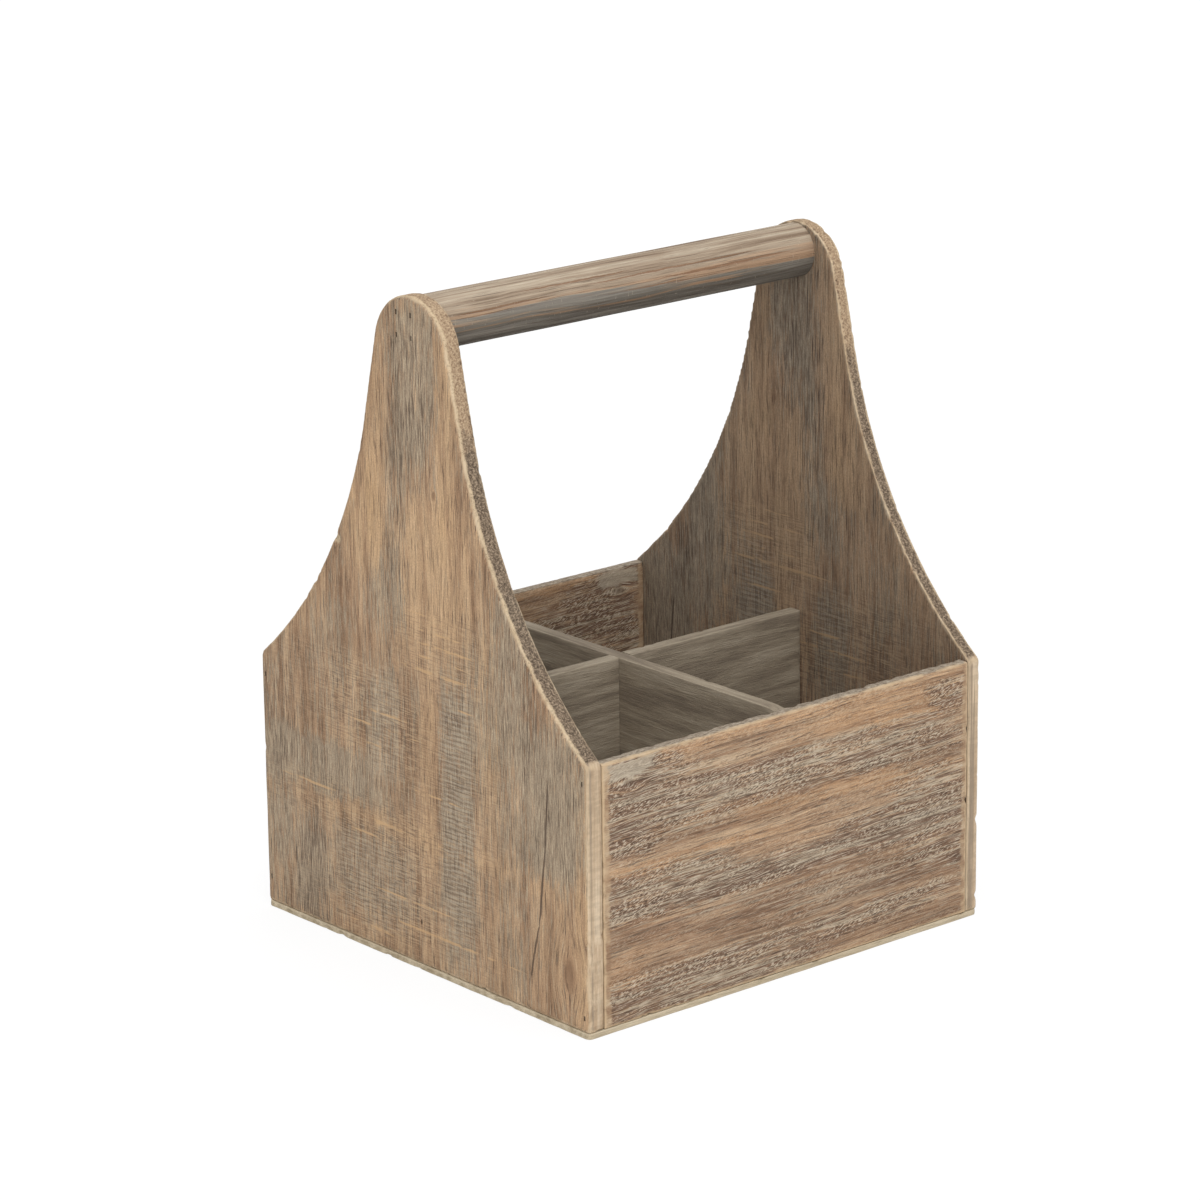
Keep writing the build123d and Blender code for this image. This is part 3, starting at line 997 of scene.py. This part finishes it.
def panel_wood(name, node, seed, flip=False):
    """Level grain in orange and brown bands, with narrow strips of grey and dark flecks."""
    side = turned_round if flip else list
    wood = Wood(name, (Z, Y, X), side(panel_knots))
    low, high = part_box(node)
    band = wood.streaks(4.0, 120.0, Seed=seed, Wander=8.0, Slant=0.02, Detail=6.0, Rough=0.68)
    warm = wood.marks(side(panel_warm), 0.6)
    clean = wood.plus(band, wood.product(warm, 0.05))
    clean = wood.plus(clean, wood.spread(wood.across, 0.0, 122.0, -0.035, 0.055, smooth=False))
    tones = (0.36, (128, 99, 77)), (0.47, (153, 122, 95)), (0.56, (171, 139, 109)), (0.68, (192, 162, 130))
    wood.colour = wood.ramp(clean, *tones)
    glow = wood.product(wood.math("MAXIMUM", warm, 0.0), wood.spread(band, 0.4, 0.6, 0.35, 0.8))
    wood.tint((190, 147, 106), glow)
    grey = wood.marks(side(panel_grey))
    dark = wood.marks(side(panel_dark))
    sparse = wood.less(grey, wood.plus(wood.product(warm, 0.4), 0.6))
    height = aged(wood, seed, 15.0, sparse, dark, slant=0.03)
    busy = wood.math("MINIMUM", wood.plus(grey, dark, 0.35), 1.0)
    ripple = flecked(wood, seed, busy)
    broken = wood.spread(ripple, 0.42, 0.54, 0.2, 1.0)
    wood.tint((188, 173, 152), wood.lines(side(panel_pale_lines)), broken, 0.6)
    wood.tint((100, 80, 65), wood.lines(side(panel_dark_lines)), broken, 0.6)
    wood.tint((88, 72, 60), wood.hearts, 0.5)
    wood.tint((186, 173, 153), wood.spread(grey, 1.1, 1.7, 0.0, 0.6))

    middle = (low.x + high.x) / 2 / mm
    off_middle = wood.gap(wood.parts(wood.frayed)[2], middle)
    half_length = (high.x - low.x) / 2 / mm
    rubbed_end = wood.spread(off_middle, half_length - 4.2, half_length - 2.6, 0.0, 0.75)
    end_tone = wood.streaks(6.0, 9.0, Seed=seed + 8)
    end_colour = wood.ramp(end_tone, (0.38, (146, 116, 90)), (0.5, (174, 146, 116)), (0.62, (196, 171, 140)))
    wood.tint(end_colour, rubbed_end)

    top = wood.spread(wood.across, high.z / mm - 1.0, high.z / mm - 0.35)
    dusty = wood.noise(wood.flat, (0.8, 0.8, 3.0), detail=4.0, roughness=0.75)
    top_colour = wood.ramp(dusty, (0.38, (104, 91, 78)), (0.5, (146, 134, 118)), (0.62, (178, 168, 152)))
    wood.tint(top_colour, top, 0.9)
    face = low.y / mm if high.y < 0 else high.y / mm
    outer = wood.spread(wood.gap(wood.depth, face), 2.6, 1.2)
    wood.tint((203, 177, 143), wood.worn(1.8), outer, 0.8)
    height = wood.plus(height, wood.product(ripple, 0.3))
    roughness = wood.spread(band, 0.3, 0.7, 0.92, 0.74)
    return wood.done(height, roughness, brushed_relief)


def plain_wood(name, order, seed, dark, main, pale, edge):
    """Smooth boards with fine grain and dull edges: dividers and base."""
    wood = Wood(name, order)
    broad = wood.streaks(5.0, 60.0, Seed=seed, Wander=5.0, Detail=4.0, Rough=0.6)
    wood.colour = wood.ramp(broad, (0.36, dark), (0.5, main), (0.64, pale))
    fleck = wood.streaks(0.6, 9.0, Seed=seed + 1, Detail=4.0, Rough=0.7)
    wood.vary(fleck, 0.8, 1.17)
    groove = wood.streaks(0.45, 12.0, Seed=seed + 2)
    wood.tint((98, 84, 70), wood.spread(groove, 0.6, 0.72, 0.0, 0.5))
    wood.tint(edge, wood.worn(1.0), 0.6)
    roughness = wood.spread(fleck, 0.3, 0.7, 0.92, 0.76)
    return wood.done(wood.less(fleck, wood.product(groove, 0.5)), roughness, smooth_relief)


def handle_wood(name, seed):
    """A handled rod: grey and tan above, orange brown along its side, and dull grey below that is partly
    weathered wood and partly painted shade.
    """
    wood = Wood(name, (Z, Y, X))
    low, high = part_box("handle")
    axis = (low.z + high.z) / 2 / mm
    band = wood.streaks(3.0, 130.0, Seed=seed, Wander=5.0, Detail=5.0, Rough=0.64)
    tones = (0.34, (124, 105, 87)), (0.45, (155, 137, 117)), (0.54, (172, 156, 136)), (0.66, (192, 178, 157))
    wood.colour = wood.ramp(band, *tones)
    drop = wood.plus(wood.less(axis, wood.across), wood.product(wood.less(band, 0.5), 30.0))
    flank = wood.between(drop, -6.0, 1.5, 3.0)
    wood.tint((158, 118, 84), flank, 0.5)
    wood.tint((118, 84, 60), wood.lines(handle_cracks), 0.75)
    # Dull grey under the axis: partly the rod's own weathered grey, partly painted shade on its underside.
    dull = wood.ramp(band, (0.38, (74, 70, 64)), (0.5, (97, 93, 86)), (0.62, (120, 115, 107)))
    wood.tint(dull, wood.spread(drop, -1.5, 2.5), 0.9)
    groove = wood.streaks(0.45, 34.0, Seed=seed + 1, Wander=2.0, Rough=0.6)
    wood.tint((80, 66, 55), wood.spread(groove, 0.57, 0.66, 0.0, 0.65))
    fine = wood.streaks(0.5, 40.0, Seed=seed + 2, Detail=4.0, Rough=0.72)
    wood.vary(fine, 0.82, 1.17)
    scratch = wood.saw_marks(0.6, 5.0, Seed=seed + 3, Detail=2.0)
    wood.tint((196, 182, 160), wood.spread(scratch, 0.66, 0.74, 0.0, 0.35))
    roughness = wood.spread(band, 0.3, 0.7, 0.85, 0.65)
    return wood.done(wood.less(fine, wood.product(groove, 0.5)), roughness, smooth_relief)


def brad_steel():
    """Dull wire with brown oxide."""
    material = bpy.data.materials.new("brad_steel")
    nodes = Nodes(bare_tree(material))
    place = nodes.add("TexCoord", output=3)
    blotch = nodes.noise(place, (0.8 * mm, 0.8 * mm, 0.8 * mm), detail=3.0)
    colour = nodes.ramp(blotch, (0.35, (58, 50, 44)), (0.65, (92, 86, 80)))
    roughness = nodes.spread(blotch, 0.3, 0.7, 0.75, 0.45)
    nodes.end(nodes.add("BsdfPrincipled", {"Base Color": colour, "Roughness": roughness, "Metallic": 0.8}))
    return material


# Stage: how white the floor glows, and how much of that shows near the object and far off
floor_glow = 1.06
glow_near, glow_far = (0.6, 0.8), (1.6, 1.0)


def make_floor():
    """A white sweep under the object that keeps a faint shadow."""
    bm = bmesh.new()
    bmesh.ops.create_grid(bm, x_segments=1, y_segments=1, size=4.0)
    floor = put("floor", bm)
    material = bpy.data.materials.new("floor_paint")
    nodes = Nodes(bare_tree(material))
    paint = nodes.add("BsdfDiffuse", {"Color": (0.86, 0.86, 0.86, 1.0)})
    glow = nodes.add("Emission", {"Color": white, "Strength": floor_glow})
    seen = nodes.add("LightPath", output="Is Camera Ray")
    away = nodes.add("VectorMath", {0: nodes.add("TexCoord", output=3)}, output=1, operation="LENGTH")
    (near, least), (far, most) = glow_near, glow_far
    share = nodes.product(seen, nodes.spread(away, near, far, least, most))
    nodes.end(nodes.add("MixShader", {0: share, 1: paint, 2: glow}))
    floor.data.materials.append(material)


def make_world(strength):
    """Even white surroundings, shown white to the camera."""
    world = bpy.data.worlds.new("studio")
    bpy.context.scene.world = world
    nodes = Nodes(bare_tree(world))
    light = nodes.add("Background", {"Color": white, "Strength": strength})
    shown = nodes.add("Background", {"Color": white, "Strength": 1.0})
    path = nodes.add("LightPath").node.outputs
    sharp = nodes.math("MAXIMUM", path["Is Camera Ray"], path["Is Transmission Ray"])
    sharp = nodes.math("MAXIMUM", sharp, path["Is Glossy Ray"])
    nodes.end(nodes.add("MixShader", {0: sharp, 1: light, 2: shown}), "World")


def make_lamp(name, place, size, power):
    """A square soft box that faces the middle of the object."""
    lamp = bpy.data.lights.new(name, "AREA")
    lamp.size = size
    lamp.energy = power
    holder = bpy.data.objects.new(name, lamp)
    bpy.context.scene.collection.objects.link(holder)
    holder.location = place
    middle = (cad_low + cad_high) / 2
    holder.rotation_euler = (middle - Vector(place)).to_track_quat("-Z", "Y").to_euler()


def make_camera():
    """The photograph's view: azimuth, elevation and a slight roll round a point on the optical axis."""
    level = math.cos(view_elevation)
    back = Vector((math.sin(view_azimuth) * level, -math.cos(view_azimuth) * level, math.sin(view_elevation)))
    right = Vector((math.cos(view_azimuth), math.sin(view_azimuth), 0))
    up = back.cross(right)
    rolled_right = right * math.cos(view_roll) + up * math.sin(view_roll)
    rolled_up = up * math.cos(view_roll) - right * math.sin(view_roll)
    data = bpy.data.cameras.new("camera")
    data.sensor_fit = "HORIZONTAL"
    data.sensor_width = 36.0
    data.lens = view_lens
    data.clip_end = 50.0
    camera = bpy.data.objects.new("camera", data)
    bpy.context.scene.collection.objects.link(camera)
    turn = Matrix((rolled_right, rolled_up, back)).transposed().to_4x4()
    camera.matrix_world = Matrix.Translation(view_target + back * view_distance) @ turn
    bpy.context.scene.camera = camera


make_camera()
make_floor()
make_world(strength=0.62)
make_lamp("key", (-1.5, -1.6, 1.7), size=1.4, power=34.0)
make_lamp("top", (0.2, -0.3, 1.9), size=1.2, power=12.0)
bpy.context.scene.view_settings.view_transform = "Standard"

# Dents and chips: place, radius and depth of each
left_chips = [
    (Vector((cad_low.x, cad_low.y, 42 * mm)), 2.2 * mm, 0.8 * mm),
    (Vector((cad_low.x, 54.5 * mm, 188 * mm)), 4.5 * mm, 1.1 * mm),
]
right_chips = [
    (Vector((cad_high.x, cad_low.y, 9.5 * mm)), 2.4 * mm, 1.2 * mm),
    (Vector((cad_high.x, cad_low.y, 46 * mm)), 3.0 * mm, 0.9 * mm),
]

# Grey vein in a gable's upright edges: place and half width
left_vein = (cad_low.x / mm + 2.3, 0.25)
right_vein = (cad_high.x / mm - 5.0, 1.6)

left_wood = gable_wood("left_gable_wood", "gable_left", 2.0, left_vein)
make_gable(-1, "left", left_wood, left_chips)
right_wood = gable_wood("right_gable_wood", "gable_right", 47.0, right_vein, flip=True)
make_gable(1, "right", right_wood, right_chips)
front_wood = panel_wood("front_panel_wood", "front_panel", 5.0)
make_panel(-1, "front", front_wood, top_chips("front_panel", 1, 30, 3))
rear_wood = panel_wood("rear_panel_wood", "rear_panel", 83.0, flip=True)
make_panel(1, "rear", rear_wood, top_chips("rear_panel", -1, 30, 4))
divider_tones = ((124, 112, 97), (146, 134, 116), (163, 151, 133), (168, 156, 137))
make_divider("long", X, plain_wood("long_divider_wood", (Z, Y, X), 13.0, *divider_tones), 51)
make_divider("cross", Y, plain_wood("cross_divider_wood", (Z, X, Y), 29.0, *divider_tones), 57)
base_tones = ((160, 145, 120), (184, 169, 143), (204, 190, 165), (204, 190, 164))
make_base(plain_wood("base_board_wood", (Y, Z, X), 61.0, *base_tones))
make_handle(handle_wood("handle_rod_wood", 37.0))
steel = brad_steel()
for node_name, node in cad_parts.items():
    if "brads" in node_name:
        node.data.materials.clear()
        node.data.materials.append(steel)
